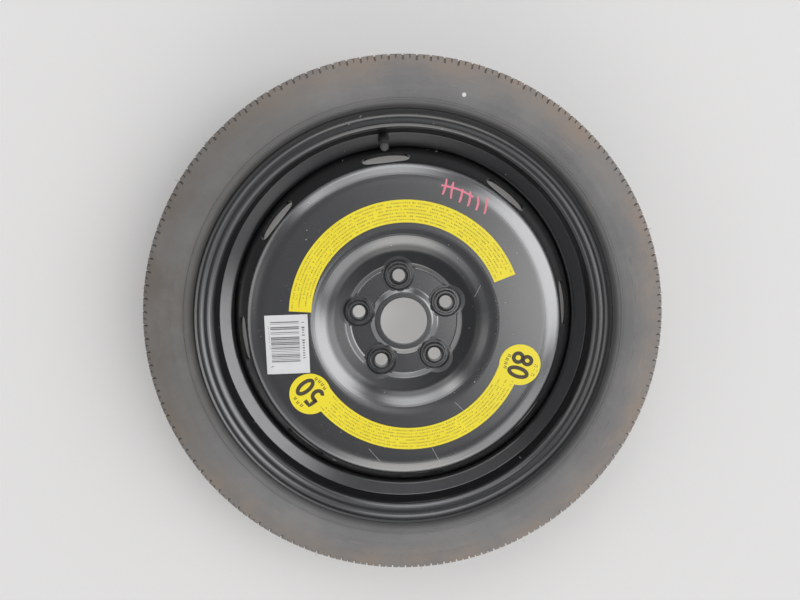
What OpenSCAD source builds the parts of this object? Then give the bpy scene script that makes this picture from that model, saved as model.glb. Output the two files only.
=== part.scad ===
// Space saver spare wheel: a narrow tyre on a welded two-piece steel wheel.
// It lies flat on its inboard sidewall. The origin is the wheel's centre, on the rim's middle plane.
// +Z is the wheel's axis, towards the street side, and the valve is at +Y.
// Profiles are drawn as [radius, height] pairs and turned about the axis.

/* [Tyre] */
// Height of the tyre over the bead seats
section_h = 84; // [78:0.5:92]
// How far the sidewalls stand out past the rim's lips
bulge = 5.05; // [3:0.05:8]
// Width of each shoulder, from the tread's edge to the widest line
shoulder_w = 23; // [19:0.5:27]
// How much lower the tread is at its edges than in the middle
crown_drop = 1.8; // [0.5:0.1:4]
// Thickness of tread and belts in the middle
tread_t = 11.5; // [9:0.5:14]
// Thickness of the sidewall
wall_t = 6; // [4.5:0.1:7.5]
// Number of grooves that run round the tread
groove_n = 3; // [1:1:4]
// Distance between these grooves
groove_pitch = 21; // [16:0.5:22]
// Width of a groove
groove_w = 5.5; // [3:0.1:8]
// Depth of a groove
groove_depth = 4; // [2:0.1:5]
// Distance from the rim's edge to the centring rib on the sidewall
rib_out = 11.5; // [10:0.1:14]
// Radius of the centring rib
rib_r = 1.1; // [0.6:0.1:1.8]

/* [Rim] */
// Diameter of the bead seats
seat_d = 462; // [455:0.5:466]
// Width between the flanges
rim_w = 88.9; // [86:0.1:94]
// Height of the flanges above the bead seats
flange_h = 17.3; // [16:0.1:18.5]
// Outer radius of the flange's curl
flange_r = 9.5; // [8.5:0.1:10.5]
// How far the flange curls outwards
lip_w = 13; // [11.5:0.1:14]
// Radius of the heel between seat and flange
heel_r = 6.5; // [5:0.1:7.5]
// Slope of the bead seats in degrees
seat_taper = 5; // [3:0.5:7]
// Width of each bead seat as a share of the rim's width
seat_share = 0.2475; // [0.23:0.0025:0.265]
// Depth of the well below the bead seats
well_depth = 17.3; // [15:0.1:19]
// Width of the well's floor as a share of the rim's width
well_share = 0.27; // [0.24:0.005:0.29]
// Thickness of the rim's sheet
rim_t = 2.6; // [2:0.1:3.2]

/* [Disc] */
// Distance from the rim's middle plane to the hub face
wheel_offset = 25.5; // [20:0.5:30]
// Thickness of the disc's sheet
disc_t = 4; // [3:0.1:4.4]
// Diameter of the centre bore
bore_d = 57.1; // [50:0.1:60]
// Diameter of the bolt circle
bolt_circle_d = 112; // [108:0.5:114]
// Number of wheel bolts
bolt_n = 5; // [4:1:6]
// Diameter of the bolt holes
bolt_hole_d = 15.3; // [13:0.1:16.5]
// Diameter of the ball seats of the bolts
ball_d = 26; // [24:0.5:28]
// Height of the collar and of the bolt bosses over the pad
boss_h = 4; // [2:0.1:5]
// Diameter of the raised edge round the pad
pad_d = 142; // [138:0.5:150]
// Diameter of the pocket that gives the wheel brace room
pocket_d = 36; // [33:0.5:38]
// Height of the dome over the pad
dome_h = 20.7; // [17:0.1:24]
// How far the disc's wall leans in, from its edge to the dome's shoulder
wall_run = 22.5; // [18:0.5:27]
// Number of vent holes
vent_n = 8; // [6:1:10]
// Length of a vent hole round the wheel
vent_l = 58; // [40:1:66]
// Height of a vent hole along the wall
vent_h = 25.5; // [16:0.5:28]
// How far the disc's edge reaches inboard of the rim's middle plane
skirt = 6; // [4:0.5:7]
// Size of the weld seams
weld = 3.4; // [2:0.1:3.8]
// Number of weld seams
weld_n = 8; // [4:1:10]
// Length of each weld seam in degrees
weld_angle = 26; // [15:1:34]

/* [Valve] */
// Diameter of the valve hole in the rim
valve_hole_d = 11.3; // [11:0.1:11.6]
// Height of the stem over the rim
stem_h = 29.5; // [27:0.1:34]
// Length of bare thread above the rubber body
thread_l = 9; // [8:0.1:11]
// Outer diameter of the stem's thread
stem_d = 7.7; // [7.5:0.1:7.9]
// Diameter of the stem's bore for the core
core_d = 5.2; // [5:0.05:5.4]
// Outer diameter of the cap
cap_d = 9.9; // [9.6:0.1:11]
// How far the core's pin can be pushed in
pin_travel = 1.5; // [1:0.1:1.8]

/* [Labels] */
// Thickness of the labels
label_t = 0.3; // [0.2:0.05:0.5]
// Width of the yellow bands as a share of the dome's radius
band_share = 0.1406; // [0.11:0.0001:0.15]
// Outer radius of the upper band as a share of the dome's radius
upper_share = 0.7427; // [0.7:0.0001:0.76]
// Outer radius of the lower band as a share of the dome's radius
lower_share = 0.7533; // [0.71:0.0001:0.77]
// Radius of the round ends of the lower band as a share of the dome's radius
lobe_share = 0.1326; // [0.11:0.0001:0.14]
// Length of the white label as a share of the dome's radius
stock_length_share = 0.3782; // [0.32:0.0001:0.385]
// Width of the white label as a share of the dome's radius
stock_width_share = 0.2721; // [0.22:0.0001:0.28]

/* [Fits] */
// Gap between tyre and rim
bead_gap = 0.1; // [0.05:0.01:0.3]
// Gap round the disc's edge in the rim
press_gap = 0.1; // [0.05:0.01:0.3]
// Gap round the rubber in the valve hole
rubber_gap = 0.1; // [0.05:0.01:0.2]
// Gap between rubber and sheet, and under the labels
seat_gap = 0.2; // [0.1:0.05:0.4]
// Gap of the small threads and of the pin in its guide
running_gap = 0.08; // [0.04:0.01:0.15]

/* [Hidden] */
$fn = 128;

seat_r = seat_d / 2;
tyre_r = seat_r + section_h;
bore_r = bore_d / 2;
bolt_r = bolt_circle_d / 2;

function unit(v) = v / norm(v);
function left(v) = [-v.y, v.x];
function reverse(list) = [for (i = [len(list) - 1:-1:0]) list[i]];
function mirrored(path) = reverse([for (p = path) [p.x, -p.y]]);
function between(a, b, share) = a + (b - a) * share;

// Points along an arc from one angle to another
function arc(centre, r, a0, a1, steps = 8) =
    [for (i = [0:steps]) let (a = between(a0, a1, i / steps)) centre + r * [cos(a), sin(a)]];

// The arc that rounds the corner at b, on the way from a to c
function corner(a, b, c, r, steps) =
    let (u = unit(a - b), v = unit(c - b))
    let (half = acos(u * v) / 2)
    let (centre = b + unit(u + v) * r / sin(half))
    let (from = b + u * r / tan(half) - centre)
    let (to = b + v * r / tan(half) - centre)
    let (a0 = atan2(from.y, from.x))
    let (turn = (atan2(to.y, to.x) - a0 + 540) % 360 - 180)
    arc(centre, r, a0, a0 + turn, steps);

// A line through [radius, height, rounding] points, with its corners rounded
function rounded(pts, steps = 5) =
    let (flat = [for (p = pts) [p.x, p.y]])
    [flat[0],
     for (i = [1:len(pts) - 2]) each corner(flat[i - 1], flat[i], flat[i + 1], pts[i][2], steps),
     flat[len(pts) - 1]];

// The same line moved to its left by d, with mitred corners
function beside(path, d) =
    [for (i = [0:len(path) - 1])
        let (before = unit(path[max(i, 1)] - path[max(i, 1) - 1]))
        let (after = unit(path[min(i, len(path) - 2) + 1] - path[min(i, len(path) - 2)]))
        let (normal = left(unit(before + after)))
        path[i] + normal * d / (normal * left(before))];

// A sheet of thickness d on the left of a line, as a flat shape
module sheet_2d(path, d) {
    polygon(concat(path, reverse(beside(path, d))));
}

// Rim

curl_centre = [seat_r + flange_h - flange_r, rim_w / 2 + flange_r];
heel_centre = [seat_r + heel_r, rim_w / 2 - heel_r];
lip_z = rim_w / 2 + lip_w;
curl_end = asin((lip_z - curl_centre.y) / flange_r);
hump_z = rim_w * (0.5 - seat_share);
hump_run = 3.6;
hump_drop = 0.5;
ledge_drop = 2;
bend_r = 4.6;
well_bend_r = 3.5;
well_r = seat_r - well_depth;
well_top = [seat_r - ledge_drop, hump_z - hump_run];
well_foot = [well_r, rim_w * well_share / 2];
rim_inner_r = well_r - rim_t;

function seat_at(z) = seat_r - tan(seat_taper) * (heel_centre.y - z);

rim_half = concat(
    arc(curl_centre, flange_r, curl_end, -90, 14),
    arc(heel_centre, heel_r, 90, 180, 8),
    rounded([
        [seat_at(heel_centre.y - 1), heel_centre.y - 1],
        [seat_at(hump_z + hump_run), hump_z + hump_run, 8],
        [seat_r - hump_drop, hump_z, bend_r],
        [well_top.x, well_top.y, bend_r],
        [well_foot.x, well_foot.y, well_bend_r],
        [well_r, 1]
    ])
);

// The well's outboard wall leans by this angle, and the valve stands square on its middle
wall_lean = atan2(well_top.y - well_foot.y, well_top.x - well_foot.x);
wall_normal = [-sin(wall_lean), cos(wall_lean)];
valve_foot = between(well_foot, well_top, 0.52) + rim_t * wall_normal;

module at_valve() {
    translate([0, valve_foot.x, valve_foot.y]) rotate([wall_lean, 0, 0]) children();
}

module rim() color([0.09, 0.09, 0.1]) {
    difference() {
        rotate_extrude() sheet_2d(concat(rim_half, mirrored(rim_half)), -rim_t);
        at_valve() cylinder(h = 6 * rim_t, d = valve_hole_d, center = true);
    }
}

// Tyre

side_z = lip_z + bulge;
tread_edge_z = side_z - shoulder_w;
tread_steps = 8;
lip_r = seat_r + flange_h;
side_h = tyre_r - lip_r;
rib_at = lip_r + rib_out;
toe_z = hump_z + hump_run + 0.8;
curl_gap = 1.2;

function crown(z) = tyre_r - crown_drop * pow(z / tread_edge_z, 2);
function up(share) = lip_r + share * side_h;

tyre_half = concat(
    [for (i = [1:tread_steps]) let (z = tread_edge_z * i / tread_steps) [crown(z), z]],
    rounded([
        [crown(tread_edge_z + 0.5), tread_edge_z + 0.5],
        [tyre_r - crown_drop - 1.1, side_z - 0.4913 * shoulder_w, 0.6957 * shoulder_w],
        [up(0.5622), side_z, 0.42 * side_h],
        [up(0.36), side_z, 0.24 * side_h],
        [up(0.12), lip_z - 0.8, 3],
        [lip_r + 3.6, curl_centre.y - 3.2, 2],
        [curl_centre.x + flange_r + 0.6, curl_centre.y - 4]
    ]),
    [for (i = [1:7]) let (a = between(-28, -90, i / 7))
        curl_centre + (flange_r + between(curl_gap, bead_gap, i / 7)) * [cos(a), sin(a)]],
    arc(heel_centre, heel_r - bead_gap, 90, 180, 8),
    rounded([
        [seat_at(heel_centre.y - 1) + bead_gap, heel_centre.y - 1],
        [seat_at(toe_z) + bead_gap, toe_z, 1.2],
        [seat_r + 9.5, toe_z + 0.6, 8],
        [up(0.0825), lip_z - 2.5 - wall_t, 0.3 * side_h],
        [up(0.375), side_z - wall_t, 0.24 * side_h],
        [up(0.645), side_z - 2.5 - wall_t, 0.24 * side_h],
        [tyre_r - tread_t - 0.5, tread_edge_z + 1, 0.18 * side_h],
        [tyre_r - tread_t, 1]
    ])
);

module tyre() color([0.27, 0.27, 0.27]) {
    rotate_extrude() {
        difference() {
            union() {
                polygon(concat(tyre_half, mirrored(tyre_half)));
                for (side = [-1, 1])
                    translate([rib_at, side * between(lip_z - 0.8, side_z, (rib_out - 8) / 16)])
                        circle(r = rib_r);
            }
            for (i = [0:groove_n - 1]) {
                z = (i - (groove_n - 1) / 2) * groove_pitch;
                translate([crown(z) - groove_depth, z - groove_w / 2])
                    square([groove_depth + 5, groove_w]);
            }
        }
    }
}

// Disc

pad_z = wheel_offset + disc_t;
disc_r = rim_inner_r - press_gap;
pad_r = pad_d / 2;
dome_z = pad_z + dome_h;
shoulder_at = [disc_r - wall_run, dome_z - 4.7];
wall_foot = [disc_r, 8];
dome_run = shoulder_at.x - pad_r;

disc_front = rounded([
    [bore_r, pad_z + boss_h],
    [bore_r + 6.5, pad_z + boss_h, disc_t + 0.8],
    [bore_r + 13, pad_z, 4],
    [pad_r - 5.5, pad_z, 3],
    [pad_r, pad_z + 4.8, disc_t + 0.6],
    [pad_r + 0.1277 * dome_run, pad_z + 0.3768 * dome_h, 0.17 * dome_run],
    [pad_r + 0.3149 * dome_run, pad_z + 0.9179 * dome_h, 0.255 * dome_run],
    [pad_r + 0.8596 * dome_run, dome_z, 0.34 * dome_run],
    [shoulder_at.x, shoulder_at.y, 12],
    [wall_foot.x, wall_foot.y, 8],
    [disc_r, -skirt]
]);

seat_circle_r = ball_d / 2 - 1.5;
ball_z = boss_h + sqrt(pow(ball_d / 2, 2) - pow(seat_circle_r, 2));
boss_back = 1.5;
vent_at = between(shoulder_at, wall_foot, 0.375);
vent_lean = atan2(wall_foot.x - shoulder_at.x, shoulder_at.y - wall_foot.y);
vent_end_share = 0.42;

module round_bolts() {
    for (i = [0:bolt_n - 1])
        rotate(90 + i * 360 / bolt_n) translate([bolt_r, 0, 0]) children();
}

// An oval of four arcs: two ends, and two flatter sides that run into them
module oval(l, h) {
    end_r = h * vent_end_share;
    end_x = l / 2 - end_r;
    side_r = (pow(end_x, 2) + pow(h / 2, 2) - pow(end_r, 2)) / (h - 2 * end_r);
    join_x = end_x * side_r / (side_r - end_r);
    for (side = [-1, 1]) translate([side * end_x, 0]) circle(r = end_r);
    intersection() {
        translate([0, h / 2 - side_r]) circle(r = side_r);
        translate([0, side_r - h / 2]) circle(r = side_r);
        square([2 * join_x, 2 * h], center = true);
    }
}

module wheel_disc() color([0.07, 0.07, 0.08]) {
    difference() {
        union() {
            difference() {
                union() {
                    rotate_extrude() sheet_2d(disc_front, -disc_t);
                    round_bolts() translate([0, 0, wheel_offset])
                        cylinder(h = disc_t + 2, d = pocket_d + 4);
                }
                // Room for the wheel brace, cut down to the pad
                round_bolts() translate([0, 0, pad_z + 0.1])
                    cylinder(h = 3 * boss_h, d1 = pocket_d - 3, d2 = pocket_d + 6 * boss_h);
            }
            // Raised bolt bosses
            round_bolts() translate([0, 0, pad_z - 1])
                cylinder(h = boss_h + 1, d1 = ball_d + 5, d2 = ball_d);
        }
        // Ball seats, bolt holes and the hollows pressed behind the bosses
        round_bolts() {
            translate([0, 0, pad_z + ball_z]) sphere(d = ball_d);
            translate([0, 0, wheel_offset - 1]) cylinder(h = 2 * disc_t, d = bolt_hole_d);
            translate([0, 0, wheel_offset - 1])
                cylinder(h = boss_back + 1, d1 = ball_d + 2, d2 = ball_d - 2);
        }
        // The bore's outer edge is broken
        rotate_extrude() polygon([
            [bore_r - 1, pad_z + boss_h + 0.5], [bore_r - 1, pad_z + boss_h - 1.8],
            [bore_r + 1.3, pad_z + boss_h + 0.5]]);
        for (i = [0:vent_n - 1])
            rotate(90 + i * 360 / vent_n) translate([vent_at.x, 0, vent_at.y])
                rotate([0, 90 - vent_lean, 0]) rotate(90)
                    linear_extrude(height = 8 * disc_t, center = true) oval(vent_l, vent_h);
    }
}

module disc_welds() color([0.12, 0.12, 0.12]) {
    for (i = [0:weld_n - 1])
        rotate(i * 360 / weld_n - weld_angle / 2) rotate_extrude(angle = weld_angle)
            polygon([
                [disc_r - weld, -skirt], [disc_r + press_gap / 2, -skirt],
                [disc_r + press_gap / 2, -skirt - weld], [disc_r - weld / 3, -skirt - weld * 2 / 3]]);
}

// Valve, drawn along its own axis with height 0 on the rim's street side

bulb_r = 9.5;
bulb_h = 8;
collar_r = 6.6;
neck_r = 5.3;
stem_r = stem_d / 2;
rubber_h = stem_h - thread_l;
stem_foot = -rim_t - bulb_h + 1.5;
core_r = core_d / 2;
tube_r = core_r - 0.5;
guide_r = 1.55;
air_r = 1.3;
core_top = stem_h - 0.9;
plug_h = 4.2;
gasket_h = 2;
barrel_h = 10.5;
barrel_z = core_top - plug_h - barrel_h;
pin_r = 0.6;
pin_collar_r = 1;
pin_head_z = core_top - plug_h - 0.7;
spring_wire_r = 0.13;
spring_turns = 7;
cap_top_t = 2;
cap_seal_t = 0.9;
cap_z = rubber_h + 0.5;

module valve_body() color([0.08, 0.08, 0.08]) at_valve() {
    neck = valve_hole_d / 2 - rubber_gap;
    rotate_extrude() difference() {
        polygon([
            [0, -rim_t - bulb_h], [bulb_r - 2, -rim_t - bulb_h], [bulb_r, -rim_t - bulb_h + 3],
            [bulb_r, -rim_t - 1.6], [bulb_r - 1.2, -rim_t - seat_gap], [neck, -rim_t - seat_gap],
            [neck, seat_gap], [collar_r, seat_gap], [collar_r + 0.3, 1.2], [collar_r - 0.2, 2.6],
            [neck_r + 1, 7], [neck_r, rubber_h - 3], [neck_r, rubber_h - 0.6],
            [neck_r - 0.6, rubber_h], [0, rubber_h]]);
        translate([0, stem_foot]) square([stem_r, stem_h - stem_foot]);
        translate([0, -rim_t - bulb_h - 1]) square([air_r + 0.8, bulb_h + rim_t]);
    }
}

module valve_stem() color([0.72, 0.56, 0.3]) at_valve() {
    rotate_extrude() difference() {
        translate([0, stem_foot]) polygon([
            [0, 0], [stem_r, 0], [stem_r, stem_h - stem_foot - 0.6],
            [stem_r - 0.6, stem_h - stem_foot], [0, stem_h - stem_foot]]);
        translate([0, stem_foot - 1]) square([air_r, stem_h]);
        translate([0, barrel_z - pin_travel - 3.5]) square([tube_r, stem_h]);
        polygon([
            [0, core_top - plug_h - gasket_h], [tube_r, core_top - plug_h - gasket_h],
            [core_r, core_top - plug_h - gasket_h + 1], [core_r, stem_h + 1], [0, stem_h + 1]]);
    }
}

// A shape turned round the valve's axis
module turned(points) {
    at_valve() rotate_extrude() polygon(points);
}

module core_plug() color([0.75, 0.6, 0.33]) {
    r = core_r - running_gap;
    z = core_top - plug_h;
    at_valve() difference() {
        rotate_extrude() polygon([
            [pin_r + running_gap, z], [r - 0.4, z], [r, z + 0.4], [r, z + plug_h - 1.6],
            [r - 0.5, z + plug_h - 1.2], [r - 0.5, z + plug_h], [pin_r + running_gap, z + plug_h]]);
        // Two flats for the core tool
        for (side = [-1, 1])
            translate([side * 2.1, 0, z + plug_h]) cube([2, 2 * r, 2.2], center = true);
    }
}

module core_barrel() color([0.75, 0.6, 0.33]) {
    turned([
        [pin_r + running_gap, barrel_z], [guide_r, barrel_z], [guide_r, core_top - plug_h],
        [guide_r - 0.4, core_top - plug_h], [guide_r - 0.4, barrel_z + 1.2],
        [pin_r + running_gap, barrel_z + 1.2]]);
}

module core_gasket() color([0.75, 0.12, 0.1]) {
    z = core_top - plug_h - gasket_h + running_gap;
    turned([
        [guide_r + 0.02, z], [tube_r - 0.05, z], [core_r - 0.06, z + 1], [core_r - 0.06, z + 1.5],
        [guide_r + 0.3, z + gasket_h - 0.2], [guide_r + 0.02, z + gasket_h - 0.2]]);
}

module core_spring() color([0.8, 0.8, 0.82]) {
    low = barrel_z + 1.2 + spring_wire_r + 0.02;
    high = pin_head_z - spring_wire_r - 0.02;
    coil_r = (pin_r + guide_r - 0.4) / 2;
    sides = 6;
    per_turn = 14;
    rings = spring_turns * per_turn;
    points = [for (i = [0:rings], k = [0:sides - 1])
        let (turn = 360 * i / per_turn, a = 360 * k / sides)
        let (r = coil_r + spring_wire_r * cos(a))
        [r * cos(turn), r * sin(turn), between(low, high, i / rings) + spring_wire_r * sin(a)]];
    walls = [for (i = [0:rings - 1], k = [0:sides - 1])
        let (a = i * sides + k, b = i * sides + (k + 1) % sides)
        [a, a + sides, b + sides, b]];
    caps = [[for (k = [0:sides - 1]) k], [for (k = [sides - 1:-1:0]) rings * sides + k]];
    at_valve() polyhedron(points, concat(walls, caps));
}

module core_pin() color([0.75, 0.6, 0.33]) {
    turned([
        [0, barrel_z - 2.2], [pin_r, barrel_z - 2.2], [pin_r, pin_head_z],
        [pin_collar_r, pin_head_z], [pin_collar_r, pin_head_z + 0.5], [pin_r, pin_head_z + 0.5],
        [pin_r, core_top + 0.3], [pin_r - 0.25, core_top + 0.5], [0, core_top + 0.5]]);
}

module core_cup() color([0.75, 0.6, 0.33]) {
    turned([
        [pin_r, barrel_z - 1.9], [guide_r + 0.2, barrel_z - 1.9], [guide_r + 0.2, barrel_z - 0.4],
        [guide_r, barrel_z - 0.4], [guide_r, barrel_z - 1.5], [pin_r, barrel_z - 1.5]]);
}

module core_seal() color([0.1, 0.1, 0.1]) {
    turned([
        [pin_r, barrel_z - 1.5], [guide_r, barrel_z - 1.5],
        [guide_r, barrel_z - 0.05], [pin_r, barrel_z - 0.05]]);
}

module valve_cap() color([0.1, 0.1, 0.1]) {
    r = cap_d / 2;
    hole = stem_r + running_gap;
    roof = stem_h + 0.05 + cap_seal_t;
    turned([
        [hole, cap_z], [r - 0.4, cap_z], [r, cap_z + 0.4], [r, roof - 0.5],
        [r - 0.4, roof + 0.2], [r - 1.3, roof + 0.4], [r - 1.5, roof + cap_top_t - 0.4],
        [r - 2, roof + cap_top_t], [0, roof + cap_top_t], [0, roof], [hole, roof]]);
}

module cap_seal() color([0.18, 0.18, 0.18]) {
    turned([
        [1.6, stem_h + 0.05], [stem_r - 0.1, stem_h + 0.05],
        [stem_r - 0.1, stem_h + 0.03 + cap_seal_t], [1.6, stem_h + 0.03 + cap_seal_t]]);
}

// Labels, which follow the dome

band_w = band_share * shoulder_at.x;
lobe_r = lobe_share * shoulder_at.x;
upper_r = upper_share * shoulder_at.x;
lower_r = lower_share * shoulder_at.x;
upper_at = shoulder_at.x * [0.0154, 0.0313];
upper_ends = [15.5, 170.3];
lower_at = shoulder_at.x * [0.0212, -0.0796];
lower_ends = [-155.2, -21.8];
stock_at = shoulder_at.x * [-0.7538, -0.0531];
stock_turn = -4.6;

dome = [for (p = disc_front) if (p.x > pad_r + 0.24 * dome_run && p.x < shoulder_at.x - 1) p];

// The part of a thin skin over the dome that lies inside a flat shape
module on_dome() {
    intersection() {
        rotate_extrude() polygon(concat(
            beside(dome, seat_gap), reverse(beside(dome, seat_gap + label_t))));
        linear_extrude(height = 2 * dome_z) children();
    }
}

// A ring between two angles
module band_2d(r, w, from, to) {
    far = 2 * r;
    difference() {
        circle(r = r);
        circle(r = r - w);
        polygon([[0, 0], for (k = [0:6]) far * [cos(between(to, from + 360, k / 6)),
            sin(between(to, from + 360, k / 6))]]);
    }
}

module speed_label_upper() color([0.95, 0.85, 0.15]) {
    on_dome() translate(upper_at) band_2d(upper_r, band_w, upper_ends[0], upper_ends[1]);
}

module speed_label_lower() color([0.95, 0.85, 0.15]) {
    on_dome() translate(lower_at) union() {
        band_2d(lower_r, band_w, lower_ends[0], lower_ends[1]);
        for (end = lower_ends)
            rotate(end) translate([lower_r - band_w + lobe_r - 1, 0]) circle(r = lobe_r);
    }
}

module stock_label() color([0.86, 0.86, 0.85]) {
    on_dome() translate(stock_at) rotate(stock_turn)
        square(shoulder_at.x * [stock_width_share, stock_length_share], center = true);
}

tyre();
rim();
wheel_disc();
disc_welds();
valve_body();
valve_stem();
core_plug();
core_barrel();
core_gasket();
core_spring();
core_pin();
core_cup();
core_seal();
valve_cap();
cap_seal();
speed_label_upper();
speed_label_lower();
stock_label();
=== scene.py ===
import math
import random

import bpy
import numpy as np
from mathutils import Matrix, Vector
from mathutils.bvhtree import BVHTree


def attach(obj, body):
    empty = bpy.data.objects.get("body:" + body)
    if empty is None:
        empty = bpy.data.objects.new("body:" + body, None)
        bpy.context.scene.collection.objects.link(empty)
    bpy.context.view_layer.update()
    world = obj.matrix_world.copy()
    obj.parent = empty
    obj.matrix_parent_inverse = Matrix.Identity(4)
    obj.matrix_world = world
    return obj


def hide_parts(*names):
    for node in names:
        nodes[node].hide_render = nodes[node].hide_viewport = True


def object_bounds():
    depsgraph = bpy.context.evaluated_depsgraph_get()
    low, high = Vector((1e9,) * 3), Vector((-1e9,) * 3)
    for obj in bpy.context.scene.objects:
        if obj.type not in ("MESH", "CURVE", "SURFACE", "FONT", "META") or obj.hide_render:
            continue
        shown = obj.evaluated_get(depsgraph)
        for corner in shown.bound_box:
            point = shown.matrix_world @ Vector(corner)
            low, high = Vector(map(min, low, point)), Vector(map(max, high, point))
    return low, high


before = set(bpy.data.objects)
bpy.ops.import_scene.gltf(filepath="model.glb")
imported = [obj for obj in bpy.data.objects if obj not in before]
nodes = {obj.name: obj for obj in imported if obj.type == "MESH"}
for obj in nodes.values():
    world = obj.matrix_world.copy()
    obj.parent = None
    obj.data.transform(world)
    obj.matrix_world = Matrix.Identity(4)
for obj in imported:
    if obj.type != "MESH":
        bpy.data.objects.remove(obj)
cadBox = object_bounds()
mm = 0.001
print("frame loaded:", len(nodes), "nodes")


# camera, found by fitting round features of the wheel in the 800 x 600 photo
photo = {
    "width": 800,
    "focal": 680,  # in pixels of the photo
    "pitch": 7.0095,  # degrees, about the photo's X, Y and Z in turn
    "yaw": 1.08546,
    "roll": 6.34999,
    "shiftRight": 4.106,  # mm, where the wheel's centre lies from the line of sight
    "shiftUp": -21.387,
    "distance": 863.75,
    "sensor": 36,
    "clip": (0.02, 20),  # m
}
wheelToPhoto = (
    Matrix.Rotation(math.radians(photo["pitch"]), 3, "X")
    @ Matrix.Rotation(math.radians(photo["yaw"]), 3, "Y")
    @ Matrix.Rotation(math.radians(photo["roll"]), 3, "Z")
)
photoToWheel = wheelToPhoto.transposed()


def fromPhoto(right, up, toward):
    # a direction or place given as the photo shows it, in the wheel's frame
    return photoToWheel @ Vector((right, up, toward))


def addCamera():
    data = bpy.data.cameras.new("photoCamera")
    data.sensor_width = photo["sensor"]
    data.lens = photo["focal"] / photo["width"] * photo["sensor"]
    data.clip_start, data.clip_end = photo["clip"]
    camera = bpy.data.objects.new("photoCamera", data)
    bpy.context.scene.collection.objects.link(camera)
    place = fromPhoto(-photo["shiftRight"], -photo["shiftUp"], photo["distance"]) * mm
    camera.matrix_world = Matrix.Translation(place) @ photoToWheel.to_4x4()
    bpy.context.scene.camera = camera


addCamera()


# shader nodes written as sums
class Flow:
    def __init__(self, tree, socket=None):
        self.tree = tree
        self.socket = socket

    def node(self, kind, settings=None, inputs=None, output=0):
        made = self.tree.nodes.new(kind)
        for name, value in (settings or {}).items():
            setattr(made, name, value)
        for name, value in (inputs or {}).items():
            if isinstance(value, Flow):
                self.tree.links.new(value.socket, made.inputs[name])
            else:
                made.inputs[name].default_value = value
        return Flow(self.tree, made.outputs[output])

    def out(self, index):
        return Flow(self.tree, self.socket.node.outputs[index])

    def maths(self, operation, *values):
        return self.node("ShaderNodeMath", {"operation": operation}, dict(enumerate(values)))

    def __add__(self, other):
        return self.maths("ADD", self, other)

    def __radd__(self, other):
        return self.maths("ADD", other, self)

    def __sub__(self, other):
        return self.maths("SUBTRACT", self, other)

    def __rsub__(self, other):
        return self.maths("SUBTRACT", other, self)

    def __mul__(self, other):
        return self.maths("MULTIPLY", self, other)

    def __rmul__(self, other):
        return self.maths("MULTIPLY", other, self)

    def __truediv__(self, other):
        return self.maths("DIVIDE", self, other)

    def __rtruediv__(self, other):
        return self.maths("DIVIDE", other, self)

    def __gt__(self, other):
        return self.maths("GREATER_THAN", self, other)

    def __lt__(self, other):
        return self.maths("LESS_THAN", self, other)

    def ramp(self, start, end):
        # 0 before start, 1 after end, and smooth in between
        return self.node("ShaderNodeMapRange", {"interpolation_type": "SMOOTHSTEP"},
                         {"Value": self, "From Min": start, "From Max": end})

    def band(self, low, high, soft):
        return self.ramp(low - soft, low) * (1 - self.ramp(high, high + soft))


def mixColours(share, first, second):
    picks = {0: share, 6: rgba(first), 7: rgba(second)}  # the node's factor and its two colours
    return share.node("ShaderNodeMix", {"data_type": "RGBA"}, picks, output=2)


def rgba(colour):
    return colour if isinstance(colour, Flow) else (*colour, 1)


def noise(flow, scale, detail=3, rough=0.55, seed=0):
    place = flow.node("ShaderNodeTexCoord", output="Object")
    moved = flow.node("ShaderNodeMapping", None, {"Vector": place, "Location": (seed, 2 * seed, 3 * seed)})
    return flow.node("ShaderNodeTexNoise", None,
                     {"Vector": moved, "Scale": scale, "Detail": detail, "Roughness": rough})


def axes(flow):
    place = flow.node("ShaderNodeTexCoord", output="Object")
    split = flow.node("ShaderNodeSeparateXYZ", None, {"Vector": place})
    return split, split.out(1), split.out(2)


def distance(x, y):
    return x.maths("SQRT", x * x + y * y)


def newMaterial(name, constants):
    made = bpy.data.materials.new(name)
    made.use_nodes = True
    shader = made.node_tree.nodes["Principled BSDF"]
    for socket, value in constants.items():
        shader.inputs[socket].default_value = value
    return made, Flow(made.node_tree), shader


def feed(flow, shader, **links):
    for name, value in links.items():
        flow.tree.links.new(value.socket, shader.inputs[name.replace("_", " ")])


def bump(flow, height, depth):
    return flow.node("ShaderNodeBump", None, {"Height": height, "Distance": depth, "Strength": 1.0})


# studio: pale floor and a soft world painted with broad patches of light
studio = {
    "floorSize": 34,
    "floorGap": 0.0002,  # between floor and tyre
    "floorShade": 0.985,  # the darker tone of the floor, as a share of its colour
    "floorColour": (0.69, 0.68, 0.665),
    "level": 0.82,
    "base": (0.24, 0.245, 0.255),
    "ring": (1.24, 1.26, 1.31),  # pale room low down all round
    "ringEdge": (0.49, 0.60),  # as the share of the direction that points at the photo's camera
    # where, as the photo shows it (right, up, toward), inner and outer half angle, colour
    "patches": [
        ((0.05, -0.96, 0.27), 15, 28, (2.6, 2.57, 2.52)),
        ((-0.90, 0.05, 0.42), 19, 27, (1.38, 1.38, 1.39)),
        ((0.55, -0.66, 0.51), 7, 17, (1.75, 1.76, 1.78)),
        ((0.13, 0.03, 0.99), 8, 14, (0.72, 0.73, 0.74)),
        ((-0.35, 0.52, 0.78), 7, 18, (2.0, 2.02, 2.05)),
        ((-0.02, 0.66, 0.75), 10, 22, (3.0, 3.03, 3.08)),
        ((-0.41, 0.36, 0.84), 2, 6, (4.2, 4.2, 4.2)),
        ((0.24, -0.25, 0.94), 4, 9, (2.4, 2.4, 2.42)),
        ((0.64, 0.03, 0.77), 17, 27, (3.9, 3.92, 3.98)),
    ],
    "horizon": (0.92, 0.915, 0.905),
    "horizonEdge": (0.02, 0.2),
    # light behind the disc, for the floor that shows through its holes
    "hollowLamp": {"height": -0.02, "size": 0.42, "watts": 0.21},
}


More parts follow.
